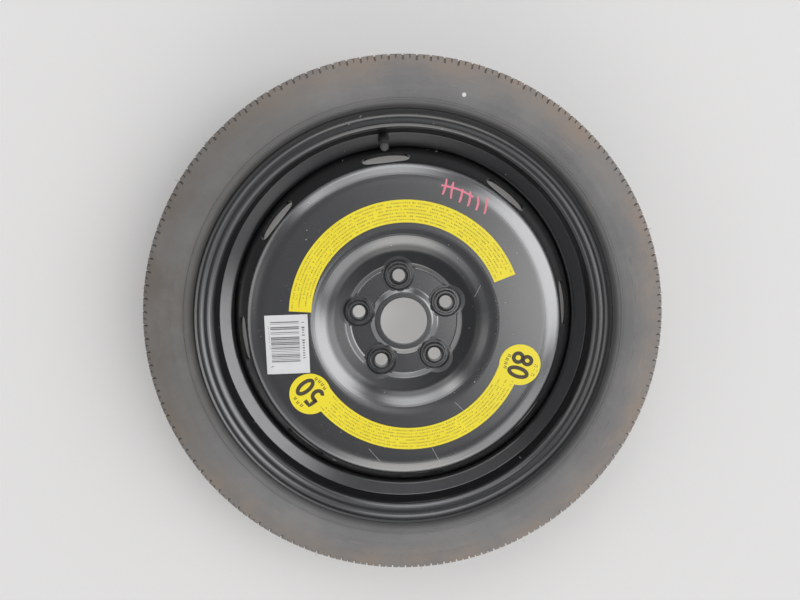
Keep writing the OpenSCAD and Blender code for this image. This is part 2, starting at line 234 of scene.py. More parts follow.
def facing(flow, direction, where):
    # 1 where the world's direction meets the given one, falling to -1 behind
    return flow.node("ShaderNodeVectorMath", {"operation": "DOT_PRODUCT"},
                     {0: direction, 1: tuple(fromPhoto(*where).normalized())}, output=1)


def paintWorld():
    world = bpy.data.worlds.new("studio")
    bpy.context.scene.world = world
    world.use_nodes = True
    flow = Flow(world.node_tree)
    backdrop = world.node_tree.nodes["Background"]
    direction = flow.node("ShaderNodeTexCoord", output="Generated")
    toward = facing(flow, direction, (0, 0, 1))
    colour = mixColours(1 - toward.ramp(*studio["ringEdge"]), studio["base"], studio["ring"])
    for where, inside, outside, light in studio["patches"]:
        edge = [math.cos(math.radians(angle)) for angle in (outside, inside)]
        colour = mixColours(facing(flow, direction, where).ramp(*edge), colour, light)
    colour = mixColours(1 - toward.ramp(*studio["horizonEdge"]), colour, studio["horizon"])
    flow.tree.links.new(colour.socket, backdrop.inputs["Color"])
    backdrop.inputs["Strength"].default_value = studio["level"]


def layFloor():
    size = studio["floorSize"] / 2
    z = cadBox[0].z - studio["floorGap"]
    mesh = bpy.data.meshes.new("floor")
    corners = [(-size, -size, z), (size, -size, z), (size, size, z), (-size, size, z)]
    mesh.from_pydata(corners, [], [(0, 1, 2, 3)])
    floor = bpy.data.objects.new("floor", mesh)
    bpy.context.scene.collection.objects.link(floor)
    material, flow, shader = newMaterial("paleFloor", {"Roughness": 0.6})
    low = [c * studio["floorShade"] for c in studio["floorColour"]]
    feed(flow, shader, Base_Color=mixColours(noise(flow, 1.5, 2), low, studio["floorColour"]))
    mesh.materials.append(material)


def hangLamp():
    given = studio["hollowLamp"]
    data = bpy.data.lights.new("hollowLamp", "AREA")
    data.shape = "ELLIPSE"
    data.size = data.size_y = given["size"]
    data.energy = given["watts"]
    lamp = bpy.data.objects.new("hollowLamp", data)
    bpy.context.scene.collection.objects.link(lamp)
    lamp.matrix_world = Matrix.Translation((0, 0, given["height"]))
    lamp.visible_camera = False


bpy.context.scene.view_settings.view_transform = "Standard"
layFloor()
paintWorld()
hangLamp()
print("studio ready")


# helpers for meshes
def arcPoints(centre, radius, start, end, steps):
    angles = np.radians(np.linspace(start, end, steps + 1))
    return [(centre[0] + radius * math.cos(a), centre[1] + radius * math.sin(a)) for a in angles]


def roundedPath(points, steps=8):
    # (radius, height, rounding) points joined by straight lines, corners rounded
    path = [points[0][:2]]
    for before, (x, y, r), after in zip(points, points[1:-1], points[2:]):
        here = Vector((x, y))
        u = (Vector(before[:2]) - here).normalized()
        v = (Vector(after[:2]) - here).normalized()
        half = math.acos(max(-1, min(1, u.dot(v)))) / 2
        centre = here + (u + v).normalized() * r / math.sin(half)
        start = here + u * r / math.tan(half) - centre
        end = here + v * r / math.tan(half) - centre
        a0 = math.degrees(math.atan2(start.y, start.x))
        turn = (math.degrees(math.atan2(end.y, end.x)) - a0 + 540) % 360 - 180
        path += arcPoints(centre, r, a0, a0 + turn, steps)
    return path + [points[-1][:2]]


def addPiece(name, verts, faces, material, body="wheel", smoothAngle=40):
    mesh = bpy.data.meshes.new(name)
    mesh.from_pydata([tuple(v) for v in verts], [], [tuple(f) for f in faces])
    mesh.materials.append(material)
    mesh.update()
    return finishPiece(name, mesh, body, smoothAngle)


def finishPiece(name, mesh, body="wheel", smoothAngle=40):
    piece = bpy.data.objects.new(name, mesh)
    bpy.context.scene.collection.objects.link(piece)
    mesh.shade_smooth()
    mesh.set_sharp_from_angle(angle=math.radians(smoothAngle))
    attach(piece, body)
    return piece


# black gloss paint of rim, disc and welds
paint = {
    "colour": (0.011, 0.0115, 0.012),
    "dust": (0.10, 0.098, 0.092),
    "film": (0.42, 0.75),  # noise at which the film of dust starts and is full
    "fine": (0.45, 0.8),
    "foot": (0.004, 0.03),  # height in m below which more dust lies
    "filmDust": 0.10,
    "footDust": 0.13,
    "specks": 900,
    "speckShare": (0.765, 0.62),
    "speckDust": 0.8,
    "roughness": 0.28,
    "sheen": {"disc": 1.0, "rim": 0.45},
    # painted shade in the hollow where the pad meets the slope, as a dulled coat
    "hollow": (0.074, 0.091, 0.006),  # where the pad meets the slope: radii and soft edge in m
    "hollowAbove": 0.03,
    "hollowShade": 0.75,
    "orangePeel": 260,
    "peelDepth": 0.000008,
}


def gloss(name, sheen):
    material, flow, shader = newMaterial(name, {"IOR": 1.5, "Coat IOR": 2.3, "Coat Roughness": 0.2})
    x, y, z = axes(flow)
    film = noise(flow, 9, 4).ramp(*paint["film"])
    fine = noise(flow, 90, 4, 0.7, seed=1).ramp(*paint["fine"])
    low = 1 - z.ramp(*paint["foot"])
    dirt = film * fine * paint["filmDust"] + low * fine * paint["footDust"]
    small, apart = paint["speckShare"]
    mark = (noise(flow, paint["specks"], 0, seed=2) > small) * (noise(flow, 30, 2, seed=3) > apart)
    dirt = dirt.maths("MINIMUM", dirt + mark * paint["speckDust"], 1.0)
    colour = mixColours(dirt, paint["colour"], paint["dust"])
    rough = paint["roughness"] + dirt * 0.45 + fine * 0.05
    peel = bump(flow, noise(flow, paint["orangePeel"], 2), paint["peelDepth"])
    # painted shade: the coat is dulled in a ring where the pad meets the slope, which darkens the reflection
    # in that hollow
    hollow = distance(x, y).band(*paint["hollow"]) * (z > paint["hollowAbove"])
    shine = sheen - dirt * 0.5 - hollow * paint["hollowShade"]
    feed(flow, shader, Base_Color=colour, Roughness=rough, Coat_Weight=shine, Normal=peel)
    return material


# dusty rubber of the tyre
rubber = {  # colours, and the radii and heights in m at which each zone starts and is full
    "clean": (0.146, 0.146, 0.149),
    "dust": (0.205, 0.202, 0.195),
    "brown": (0.230, 0.190, 0.159), "brownFrom": (0.268, 0.306),
    "scuff": (0.30, 0.27, 0.24), "scuffFrom": (0.262, 0.28), "scuffShare": (0.62, 0.78),
    "dab": (0.62, 0.62, 0.60), "dabPlace": (0.0963, 0.2546), "dabRadius": 0.0026,  # of white paint
    # painted shade: the rubber darkens in patches towards the tyre's left side
    "leftShade": (0.108, 0.099, 0.089), "leftShadeAngle": 160, "leftShadeSpread": (0.45, 0.98),
    # painted shade on the sidewall between the rib and the rim's flange
    "beadShade": (0.075, 0.075, 0.075), "beadShadeTo": (0.249, 0.268),
    "tread": (0.062, 0.061, 0.060), "treadFrom": (0.3085, 0.3125), "treadTo": (0.040, 0.050),
    "seam": (0.012, 0.012, 0.012), "seamAt": (0.2496, 0.2512, 0.0005),  # painted shade in the crevice where the bead meets the flange
    "fineRibs": 2400,
    "depth": 0.00022,
}


def dustyRubber():
    material, flow, shader = newMaterial("dustyRubber", {"Specular IOR Level": 0.35})
    x, y, z = axes(flow)
    radius = distance(x, y)
    cloud = noise(flow, 14, 5, 0.65).ramp(0.35, 0.7)
    grain = noise(flow, 420, 4, 0.7, seed=1)
    patches = noise(flow, 17, 6, 0.7, seed=2).ramp(0.36, 0.64)
    base = mixColours(cloud * 0.55 + grain * 0.35, rubber["clean"], rubber["dust"])
    brown = radius.ramp(*rubber["brownFrom"]) * (0.30 + patches * 0.65) + patches * 0.12
    base = mixColours(brown, base, rubber["brown"])
    # streaks that run round the tyre
    around = flow.node("ShaderNodeCombineXYZ", None,
                       {"X": x / radius * 7, "Y": y / radius * 7, "Z": radius * 420})
    streaks = flow.node("ShaderNodeTexNoise", None, {"Vector": around, "Scale": 1.0, "Detail": 3.0})
    scuffed = streaks.ramp(*rubber["scuffShare"]) * radius.ramp(*rubber["scuffFrom"]) * 0.45
    base = mixColours(scuffed, base, rubber["scuff"])
    dabX, dabY = rubber["dabPlace"]
    away = distance(x - dabX, y - dabY).ramp(rubber["dabRadius"] * 0.8, rubber["dabRadius"])
    base = mixColours((1 - away) * (z > 0.0), base, rubber["dab"])
    # painted shade, patchy, towards the tyre's left side
    toLeftShade = math.radians(rubber["leftShadeAngle"])
    towardLeftShade = x / radius * math.cos(toLeftShade) + y / radius * math.sin(toLeftShade)
    base = mixColours(towardLeftShade.ramp(*rubber["leftShadeSpread"]) * (0.45 + patches * 0.35), base, rubber["leftShade"])
    # painted shade: darker rubber inward of the rib, beside the flange
    base = mixColours((1 - radius.ramp(*rubber["beadShadeTo"])) * 0.55, base, rubber["beadShade"])
    tread = radius.ramp(*rubber["treadFrom"]) * (1 - z.maths("ABSOLUTE", z).ramp(*rubber["treadTo"]))
    base = mixColours(tread * (0.95 - patches * 0.35), base, rubber["tread"])
    # painted shade: a near-black line in the crevice between bead and flange
    base = mixColours(radius.band(*rubber["seamAt"]) * (z > 0.0) * 0.85, base, rubber["seam"])
    ribs = radius.maths("SINE", radius * rubber["fineRibs"])
    height = ribs * 0.12 + grain * 0.5 + noise(flow, 60, 3, seed=4) * 0.8
    feed(flow, shader, Base_Color=base, Roughness=0.62 + grain * 0.25,
         Normal=bump(flow, height, rubber["depth"]))
    return material


# plainer finishes: two tones and a roughness that follow one noise
# "grain" is the noise's scale, detail and roughness, and "rough" is the least roughness and its spread
plainLooks = {
    "yellowFilm": {"grain": (30, 3, 0.55), "tones": ((0.74, 0.61, 0.020), (0.82, 0.69, 0.035)),
                   "rough": (0.32, 0.1), "fixed": {"Coat Weight": 0.3, "Coat Roughness": 0.2}},
    "whitePaper": {"grain": (60, 4, 0.55), "tones": ((0.56, 0.56, 0.555), (0.65, 0.65, 0.645)),
                   "rough": (0.55, 0.1)},
    "blackRubber": {"grain": (300, 4, 0.55), "tones": ((0.022, 0.022, 0.022), (0.05, 0.05, 0.048)),
                    "rough": (0.45, 0.2), "depth": 0.00005},
    "brass": {"grain": (500, 4, 0.55), "tones": ((0.60, 0.42, 0.17), (0.78, 0.62, 0.32)),
              "rough": (0.22, 0.2), "fixed": {"Metallic": 1.0}},
    "springSteel": {"grain": (800, 3, 0.55), "tones": ((0.5, 0.5, 0.51), (0.68, 0.68, 0.7)),
                    "rough": (0.2, 0.15), "fixed": {"Metallic": 1.0}},
    "redSeal": {"grain": (500, 3, 0.55), "tones": ((0.42, 0.03, 0.02), (0.55, 0.05, 0.04)),
                "rough": (0.4, 0.2)},
    "capPlastic": {"grain": (350, 4, 0.55), "tones": ((0.03, 0.03, 0.03), (0.075, 0.073, 0.07)),
                   "rough": (0.35, 0.25)},
    "darkInk": {"grain": (140, 4, 0.7), "tones": ((0.035, 0.026, 0.016), (0.085, 0.066, 0.04)),
                "rough": (0.4, 0.15)},
    "faintInk": {"grain": (140, 4, 0.7), "tones": ((0.26, 0.20, 0.03), (0.42, 0.33, 0.04)),
                 "rough": (0.4, 0.15)},
    "palePrint": {"grain": (140, 4, 0.7), "tones": ((0.10, 0.10, 0.10), (0.22, 0.22, 0.22)),
                  "rough": (0.4, 0.15)},
    "pinkMarker": {"grain": (140, 4, 0.7), "tones": ((0.62, 0.13, 0.19), (0.74, 0.25, 0.31)),
                   "rough": (0.4, 0.15)},
    "barePrimer": {"grain": (140, 4, 0.7), "tones": ((0.42, 0.42, 0.41), (0.62, 0.62, 0.60)),
                   "rough": (0.6, 0.15)},
}


def plainFinish(name):
    look = plainLooks[name]
    material, flow, shader = newMaterial(name, look.get("fixed", {}))
    tone = noise(flow, *look["grain"])
    least, spread = look["rough"]
    feed(flow, shader, Base_Color=mixColours(tone, *look["tones"]), Roughness=least + tone * spread)
    if "depth" in look:
        feed(flow, shader, Normal=bump(flow, tone, look["depth"]))
    return material


finishes = {name: plainFinish(name) for name in plainLooks}
finishes["discPaint"] = gloss("discPaint", paint["sheen"]["disc"])
finishes["rimPaint"] = gloss("rimPaint", paint["sheen"]["rim"])
finishes["dustyRubber"] = dustyRubber()
nodeFinishes = {
    "tyre": "dustyRubber", "rim": "rimPaint", "wheel_disc": "discPaint", "disc_welds": "rimPaint",
    "valve_body": "blackRubber", "valve_stem": "brass", "core_plug": "brass",
    "core_barrel": "brass", "core_gasket": "redSeal", "core_spring": "springSteel",
    "core_pin": "brass", "core_cup": "brass", "core_seal": "blackRubber", "valve_cap": "capPlastic",
    "cap_seal": "blackRubber", "speed_label_upper": "yellowFilm", "speed_label_lower": "yellowFilm",
    "stock_label": "whitePaper",
}
for name, finish in nodeFinishes.items():
    for slot in nodes[name].material_slots:
        slot.material = finishes[finish]
    if not nodes[name].material_slots:
        nodes[name].data.materials.append(finishes[finish])
print("materials ready")


# tyre: a turned body whose tread carries grooves, slits and shoulder notches
tyre = {
    "outer": 314.95, "crownDrop": 1.8, "treadEdge": 39.5, "side": 62.1, "wall": 6.0, "treadThick": 11.5,
    "seat": 231.0, "seatTaper": 5.0, "lipRadius": 248.3, "lipHeight": 57.45, "beadGap": 0.1, "curlGap": 1.2,
    "curl": (238.8, 53.95, 9.5), "heel": (237.5, 37.95, 6.5), "toe": 26.85,
    "rib": (259.8, 1.1),
    "outerGroove": 21.0, "grooveWidth": 5.5, "grooveDepth": 4.0, "grooveLean": 0.25, "zigzag": 1.0,
    "ribRows": (6.2, 10.5, 14.8), "shoulderRows": (28.0, 31.5, 33.5, 36.5),
    "fineFrom": 301.5,  # radius from which the rows carry every column
    "pitches": 120,
    "longNotch": {"at": 0.0, "half": 0.052, "depth": 2.6, "from": 33.0, "to": 303.5},
    "shortNotch": {"at": 0.5, "half": 0.036, "depth": 1.7, "from": 40.5, "to": 307.0},
    "notchWall": 1.35,  # half width at the top of a notch, as a share of that at its foot
    "slitDepth": 2.4,
    "plainColumns": (0.26, 0.74),
    "sideColumns": 2,
}


def crown(z):
    return tyre["outer"] - tyre["crownDrop"] * (z / tyre["treadEdge"]) ** 2


def seatAt(z):
    return tyre["seat"] - math.tan(math.radians(tyre["seatTaper"])) * (tyre["heel"][1] - z)


def tyreShoulder():
    # from the tread's edge over the shoulder and down the sidewall to the rim,
    # as (radius, height, rounding) in mm, offset from the named sizes
    edge, lip = tyre["treadEdge"], tyre["lipRadius"]
    curl, side = tyre["curl"], tyre["side"]
    return roundedPath([
        (crown(edge + 0.5), edge + 0.5),
        (tyre["outer"] - tyre["crownDrop"] - 1.1, side - 11.3, 16),
        (lip + 37.5, side, 28),
        (lip + 24, side, 16),
        (lip + 8, tyre["lipHeight"] - 0.8, 3),
        (lip + 3.6, curl[1] - 3.2, 2),
        (curl[0] + curl[2] + 0.6, curl[1] - 4),
    ], 7)


def withRib(path):
    # the small round rib that shows whether the tyre sits true on the rim
    at, r = tyre["rib"]
    before = [p for p in path if p[0] > at + r]
    after = [p for p in path if p[0] < at - r]
    (r0, z0), (r1, z1) = before[-1], after[0]
    foot = z0 + (z1 - z0) * (r0 - at) / (r0 - r1)
    bulge = [(at + r * math.cos(a), foot + r * math.sin(a)) for a in np.radians([8, 40, 70, 100, 140, 172])]
    return before + bulge + after


def beadAndInside():
    # on from there round the rim's curl, the heel and the toe, then back up the hollow
    lip, side, wall, gap = tyre["lipRadius"], tyre["side"], tyre["wall"], tyre["beadGap"]
    cx, cy, cr = tyre["curl"]
    hx, hy, hr = tyre["heel"]
    path = []
    for i in range(1, 8):
        angle = math.radians(-28 - 62 * i / 7)
        reach = cr + tyre["curlGap"] + (gap - tyre["curlGap"]) * i / 7
        path.append((cx + reach * math.cos(angle), cy + reach * math.sin(angle)))
    path += arcPoints((hx, hy), hr - gap, 90, 180, 8)
    toe = tyre["toe"]
    return path + roundedPath([
        (seatAt(hy - 1) + gap, hy - 1),
        (seatAt(toe) + gap, toe, 1.2),
        (tyre["seat"] + 9.5, toe + 0.6, 8),
        (lip + 5.5, tyre["lipHeight"] - 2.5 - wall, 20),
        (lip + 25, side - wall, 16),
        (lip + 43, side - 2.5 - wall, 16),
        (tyre["outer"] - tyre["treadThick"] - 0.5, tyre["treadEdge"] + 1, 12),
        (tyre["outer"] - tyre["treadThick"], 1),
    ], 3)


def treadRows():
    # (radius, height, kind) across the tread, from the middle out to its edge
    half, depth, lean = tyre["grooveWidth"] / 2, tyre["grooveDepth"], tyre["grooveLean"]
    low, high = tyre["outerGroove"] - half, tyre["outerGroove"] + half
    rows = [(crown(0) - depth, 0.6, "floor"), (crown(0) - depth, half - lean, "floor")]
    rows += [(crown(half), half, "edge")]
    rows += [(crown(z), z, "rib") for z in tyre["ribRows"]]
    rows += [(crown(low), low, "edge"), (crown(low) - depth, low + lean, "floor"),
             (crown(low) - depth, high - lean, "floor"), (crown(high), high, "edge")]
    return rows + [(crown(z), z, "shoulder") for z in (*tyre["shoulderRows"], tyre["treadEdge"])]


def pitchColumns():
    # shares of one pitch at which a column of points stands, and the depth of each cut there
    columns = [(share, {}) for share in tyre["plainColumns"]]
    for kind in ("longNotch", "shortNotch"):
        notch = tyre[kind]
        wall = notch["half"] * tyre["notchWall"]
        for offset, deep in ((-wall, 0), (-notch["half"], 1), (notch["half"], 1), (wall, 0)):
            columns.append(((notch["at"] + offset) % 1, {kind: deep}))
    return sorted(columns, key=lambda c: c[0])


def cutDepth(kind, r, z, cut):
    # how deep a notch or slit goes at this row and column
    if kind == "rib":
        return cut.get("shortNotch", 0) * tyre["slitDepth"]
    deep = 0
    if kind == "shoulder":
        for name, held in cut.items():
            notch = tyre[name]
            if abs(z) > notch["from"] and r > notch["to"]:
                deep = held * notch["depth"]
    return deep


def ringPoint(r, angle, z):
    return r * math.cos(angle) * mm, r * math.sin(angle) * mm, z * mm


def ringFaces(start, rows, count):
    # the faces between rows of points that each go once round
    faces = []
    for row in range(rows - 1):
        a, b = start + row * count, start + (row + 1) * count
        for i in range(count):
            j = (i + 1) % count
            faces.append((a + i, a + j, b + j, b + i))
    return faces


def buildTyre():
    outline = withRib(tyreShoulder())
    shoulder = [p for p in outline if p[0] > tyre["fineFrom"]]
    sidewall = [p for p in outline if p[0] <= tyre["fineFrom"]]
    upper = treadRows() + [(r, z, "shoulder") for r, z in shoulder]
    tread = [(r, -z, kind) for r, z, kind in reversed(upper)] + upper
    side = sidewall + beadAndInside()
    around = side + [(r, -z) for r, z in reversed(side)]

    columns = pitchColumns()
    perPitch = len(columns)
    count = tyre["pitches"] * perPitch
    pitchAngle = 2 * math.pi / tyre["pitches"]
    angles = np.array([(i // perPitch + columns[i % perPitch][0]) * pitchAngle for i in range(count)])
    verts = []
    for row, (r, z, kind) in enumerate(tread):
        before, after = tread[max(row - 1, 0)], tread[min(row + 1, len(tread) - 1)]
        along = Vector((after[0] - before[0], after[1] - before[1])).normalized()
        out = Vector((along.y, -along.x)) if kind == "shoulder" else Vector((1, 0))
        for i in range(count):
            share, cut = columns[i % perPitch]
            deep = cutDepth(kind, r, z, cut)
            wave = 0
            if kind in ("edge", "floor") and abs(z) > 1:
                wave = tyre["zigzag"] * (abs(2 * share - 1) * 2 - 1)
            height = z - out.y * deep + wave * (1 if z > 0 else -1)
            verts.append(ringPoint(r - out.x * deep, angles[i], height))
    faces = ringFaces(0, len(tread), count)

    # the plain rest of the ring has fewer columns, and wide faces join the two
    step = perPitch // tyre["sideColumns"]
    few = count // step
    start = len(verts)
    verts += [ringPoint(r, angles[k * step], z) for r, z in around for k in range(few)]
    faces += ringFaces(start, len(around), few)
    top, bottom = (len(tread) - 1) * count, 0
    last = start + (len(around) - 1) * few
    for k in range(few):
        j = (k + 1) % few
        fine = [(k * step + s) % count for s in range(step + 1)]
        faces.append([top + i for i in fine] + [start + j, start + k])
        faces.append([last + k, last + j] + [bottom + i for i in reversed(fine)])
    piece = addPiece("dressedTyre", verts, faces, finishes["dustyRubber"], "wheel", 32)
    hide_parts("tyre")
    print("tyre:", len(faces), "faces")


buildTyre()


# trees of Geometry Nodes, baked to plain meshes
socketKinds = {float: "NodeSocketFloat", int: "NodeSocketInt", tuple: "NodeSocketVector"}


def growPiece(name, values, build, material, body="wheel", smoothAngle=40):
    # build(flow, given) returns the geometry, and given holds the tree's named inputs
    tree = bpy.data.node_groups.new(name, "GeometryNodeTree")
    face = tree.interface
    sockets = {label: face.new_socket(label, in_out="INPUT", socket_type=socketKinds[type(value)])
               for label, value in values.items()}
    face.new_socket("Geometry", in_out="OUTPUT", socket_type="NodeSocketGeometry")
    entry = tree.nodes.new("NodeGroupInput")
    given = {label: Flow(tree, entry.outputs[label]) for label in values}
    flow = Flow(tree)
    real = flow.node("GeometryNodeRealizeInstances", None, {"Geometry": build(flow, given)})
    painted = flow.node("GeometryNodeSetMaterial", None, {"Geometry": real, "Material": material})
    leave = tree.nodes.new("NodeGroupOutput")
    tree.links.new(painted.socket, leave.inputs[0])

    holder = bpy.data.objects.new(name + ".grown", bpy.data.meshes.new(name + ".empty"))
    bpy.context.scene.collection.objects.link(holder)
    modifier = holder.modifiers.new("grow", "NODES")
    modifier.node_group = tree
    for label, value in values.items():
        modifier[sockets[label].identifier] = value
    evaluated = holder.evaluated_get(bpy.context.evaluated_depsgraph_get())
    mesh = bpy.data.meshes.new_from_object(evaluated)
    mesh.name = name
    bpy.data.objects.remove(holder)
    return finishPiece(name, mesh, body, smoothAngle)


def randomVector(flow, low, high, seed):
    return flow.node("FunctionNodeRandomValue", {"data_type": "FLOAT_VECTOR"},
                     {0: low, 1: high, "Seed": seed})


def randomNumber(flow, low, high, seed):
    # the node's float sockets are its third and fourth, and its second output
    return flow.node("FunctionNodeRandomValue", {"data_type": "FLOAT"},
                     {2: low, 3: high, "Seed": seed}, output=1)


# thin rubber hairs left by the mould's vents
hairs = {
    "Count": 74, "Radius": 0.3108, "Height": 0.0475, "Length": 0.0032, "Thickness": 0.0003, "Seed": 11,
}
hairSpread = {  # least and most
    "shift": ((-0.003, -0.003, -0.004), (0.003, 0.003, 0.002)),
    "tilt": ((-0.16, -0.16, 0.02), (0.16, 0.16, 0.3)),
    "size": (0.35, 1.1),
}


def hairTree(flow, given):
    circle = flow.node("GeometryNodeCurvePrimitiveCircle", None, {"Radius": given["Radius"]})
    points = flow.node("GeometryNodeCurveToPoints", None, {"Curve": circle, "Count": given["Count"]})
    lift = flow.node("ShaderNodeCombineXYZ", None, {"Z": given["Height"]})
    jitter = randomVector(flow, *hairSpread["shift"], given["Seed"])
    shift = flow.node("ShaderNodeVectorMath", {"operation": "ADD"}, {0: lift, 1: jitter})
    placed = flow.node("GeometryNodeSetPosition", None, {"Geometry": points, "Offset": shift})
    here = flow.node("GeometryNodeInputPosition")
    tilt = randomVector(flow, *hairSpread["tilt"], given["Seed"] + 1)
    lean = flow.node("ShaderNodeVectorMath", {"operation": "ADD"}, {0: here, 1: tilt})
    turn = flow.node("FunctionNodeAlignRotationToVector", {"axis": "Z"}, {"Vector": lean})
    hair = flow.node("GeometryNodeMeshCone", None, {
        "Vertices": 6, "Radius Top": given["Thickness"] * 0.5, "Radius Bottom": given["Thickness"],
        "Depth": given["Length"]})
    size = randomNumber(flow, *hairSpread["size"], given["Seed"] + 2)
    return flow.node("GeometryNodeInstanceOnPoints", None,
                     {"Points": placed, "Instance": hair, "Rotation": turn, "Scale": size})


growPiece("mouldHairs", hairs, hairTree, finishes["dustyRubber"])
print("mould hairs ready")


# valve: grip ribs round the cap, and the stem's thread that shows once the cap is off
valve = {
    "foot": (0, 220.594, 17.935), "lean": 24.119,  # mm and degrees, where the valve's axis leaves the rim
    "capRadius": 4.95, "ribs": 24, "rib": (0.55, 0.4, 7.6), "ribMiddle": 25.7,
    "threadRadius": 3.78, "wire": 0.115, "pitch": 0.794, "turns": 10, "threadFoot": 20.9,
}


def ontoValve(flow, geometry, height):
    lean = math.radians(valve["lean"])
    foot = Vector(valve["foot"]) + Vector((0, -math.sin(lean), math.cos(lean))) * height
    return flow.node("GeometryNodeTransform", None, {
        "Geometry": geometry, "Translation": tuple(foot * mm), "Rotation": (lean, 0, 0)})


def capRibs(flow, given):
    circle = flow.node("GeometryNodeCurvePrimitiveCircle", None, {"Radius": valve["capRadius"] * mm})
    points = flow.node("GeometryNodeCurveToPoints", None, {"Curve": circle, "Count": given["Count"]})
    turn = flow.node("FunctionNodeAlignRotationToVector", {"axis": "X"}, {"Vector": points.out(1)})
    rib = flow.node("GeometryNodeMeshCube", None, {"Size": tuple(c * mm for c in valve["rib"])})
    placed = flow.node("GeometryNodeInstanceOnPoints", None,
                       {"Points": points, "Instance": rib, "Rotation": turn})
    return ontoValve(flow, placed, valve["ribMiddle"])


def stemThread(flow, given):
    radius = valve["threadRadius"] * mm
    spiral = flow.node("GeometryNodeCurveSpiral", None, {
        "Resolution": 28, "Rotations": given["Turns"], "Start Radius": radius, "End Radius": radius,
        "Height": valve["pitch"] * valve["turns"] * mm})
    wire = flow.node("GeometryNodeCurvePrimitiveCircle", None,
                     {"Resolution": 6, "Radius": valve["wire"] * mm})
    thread = flow.node("GeometryNodeCurveToMesh", None,
                       {"Curve": spiral, "Profile Curve": wire, "Fill Caps": True})
    return ontoValve(flow, thread, valve["threadFoot"])


grip = growPiece("capRibs", {"Count": valve["ribs"]}, capRibs, finishes["capPlastic"], "cap")
thread = growPiece("stemThread", {"Turns": float(valve["turns"])}, stemThread, finishes["brass"], "wheel", 30)
print("valve dressed")


# small marks in rows, draped over the surface below them
overhead = 0.09  # m, a height above every surface that is drawn on
splitFrom = 6  # mm, the height from which a mark bends in its middle


def arcRow(flow, centre, radius, start, end, pitch, size, seed, gaps=0.12):
    # marks along an arc, in mm and degrees about the centre
    count = max(2, round(abs(math.radians(end - start)) * radius / pitch))
    arc = flow.node("GeometryNodeCurveArc", None, {
        "Resolution": 96, "Radius": radius * mm, "Start Angle": math.radians(start),
        "Sweep Angle": math.radians(end - start)})
    points = flow.node("GeometryNodeCurveToPoints", None, {"Curve": arc, "Count": count})
    turn = flow.node("FunctionNodeAlignRotationToVector", {"axis": "X"}, {"Vector": points.out(1)})
    return markPoints(flow, points, turn, centre, size, seed, gaps)


def straightRow(flow, start, end, count, size, seed, gaps, low):
    step = (Vector(end) - Vector(start)) * mm / (count - 1)
    points = flow.node("GeometryNodeMeshLine", None, {
        "Count": count, "Start Location": (start[0] * mm, start[1] * mm, 0), "Offset": (step.x, step.y, 0)})
    return markPoints(flow, points, None, (0, 0), size, seed, gaps, low)


def markPoints(flow, points, turn, centre, size, seed, gaps, low=(0.35, 0.65, 1)):
    dropped = randomNumber(flow, 0.0, 1.0, seed) < gaps
    kept = flow.node("GeometryNodeDeleteGeometry", None, {"Geometry": points, "Selection": dropped})
    mark = flow.node("GeometryNodeMeshCube", None, {
        "Size": tuple(c * mm for c in size), "Vertices X": 2, "Vertices Y": 3 if size[1] > splitFrom else 2})
    inputs = {"Points": kept, "Instance": mark, "Scale": randomVector(flow, low, (1, 1, 1), seed + 1)}
    if turn:
        inputs["Rotation"] = turn
    placed = flow.node("GeometryNodeInstanceOnPoints", None, inputs)
    return flow.node("GeometryNodeTransform", None,
                     {"Geometry": placed, "Translation": (centre[0] * mm, centre[1] * mm, 0)})


def join(flow, rows):
    joined = flow.node("GeometryNodeJoinGeometry")
    for row in rows:
        flow.tree.links.new(row.socket, joined.socket.node.inputs[0])
    return joined


def drape(flow, rows, target):
    # every point keeps its small height, counted from the surface below it
    real = flow.node("GeometryNodeRealizeInstances", None, {"Geometry": join(flow, rows)})
    split = flow.node("ShaderNodeSeparateXYZ", None, {"Vector": flow.node("GeometryNodeInputPosition")})
    above = flow.node("ShaderNodeCombineXYZ", None, {"X": split, "Y": split.out(1), "Z": overhead})
    surface = flow.node("GeometryNodeObjectInfo", None, {"Object": target})
    ray = flow.node("GeometryNodeRaycast", None, {
        "Target Geometry": surface.out(4), "Source Position": above, "Ray Direction": (0, 0, -1),
        "Ray Length": 0.2})
    hit = flow.node("ShaderNodeSeparateXYZ", None, {"Vector": ray.out(1)})
    place = flow.node("ShaderNodeCombineXYZ", None,
                      {"X": split, "Y": split.out(1), "Z": hit.out(2) + split.out(2)})
    return flow.node("GeometryNodeSetPosition", None, {"Geometry": real, "Position": place})


labels = {
    "upper": {"centre": (2.9, 5.9), "outer": 140.0, "ends": (17.5, 168.5), "seed": 21},
    "lower": {"centre": (4.0, -15.0), "outer": 142.0, "ends": (-146.5, -31.0), "seed": 121},
    "rows": 6, "pitch": 3.9, "inset": 3.6, "spacing": 2.15, "mark": (1.7, 1.7), "gaps": 0.16,
    "thin": 0.05,
    "stock": {"centre": (-142.1, -10.0), "turn": -4.6, "seed": 7},
    "stockRows": [  # from, to, count, wide, tall, step of the seed, share left out, least size
        ((-2.2, 27.0), (-2.2, -20.5), 24, 34.0, 1.7, 0, 0.1, (1, 0.2, 1)),
        ((19.6, 26.0), (19.6, -17.0), 15, 3.6, 2.0, 5, 0.12, (0.6, 0.45, 1)),
        ((-21.6, 22.0), (-20.6, -6.0), 16, 1.2, 1.0, 9, 0.3, (0.5, 0.4, 1)),
        ((-20.5, -27.0), (-18.0, -26.0), 3, 1.0, 2.2, 13, 0.0, (1, 0.4, 1)),
    ],
}


def addBandPrint(which):
    band = labels[which]

    def build(flow, given):
        rows = []
        for i in range(labels["rows"]):
            radius = band["outer"] - labels["inset"] - i * labels["pitch"]
            start, end = band["ends"][0] + (i * 7) % 5, band["ends"][1] - (i * 5) % 9  # ragged ends
            rows.append(arcRow(flow, band["centre"], radius, start, end, labels["spacing"],
                               (*labels["mark"], labels["thin"]), given["Seed"] + i * 10, labels["gaps"]))
        return drape(flow, rows, nodes["speed_label_" + which])
    name = "bandPrint" + str(band["seed"])
    growPiece(name, {"Seed": band["seed"]}, build, finishes["faintInk"])


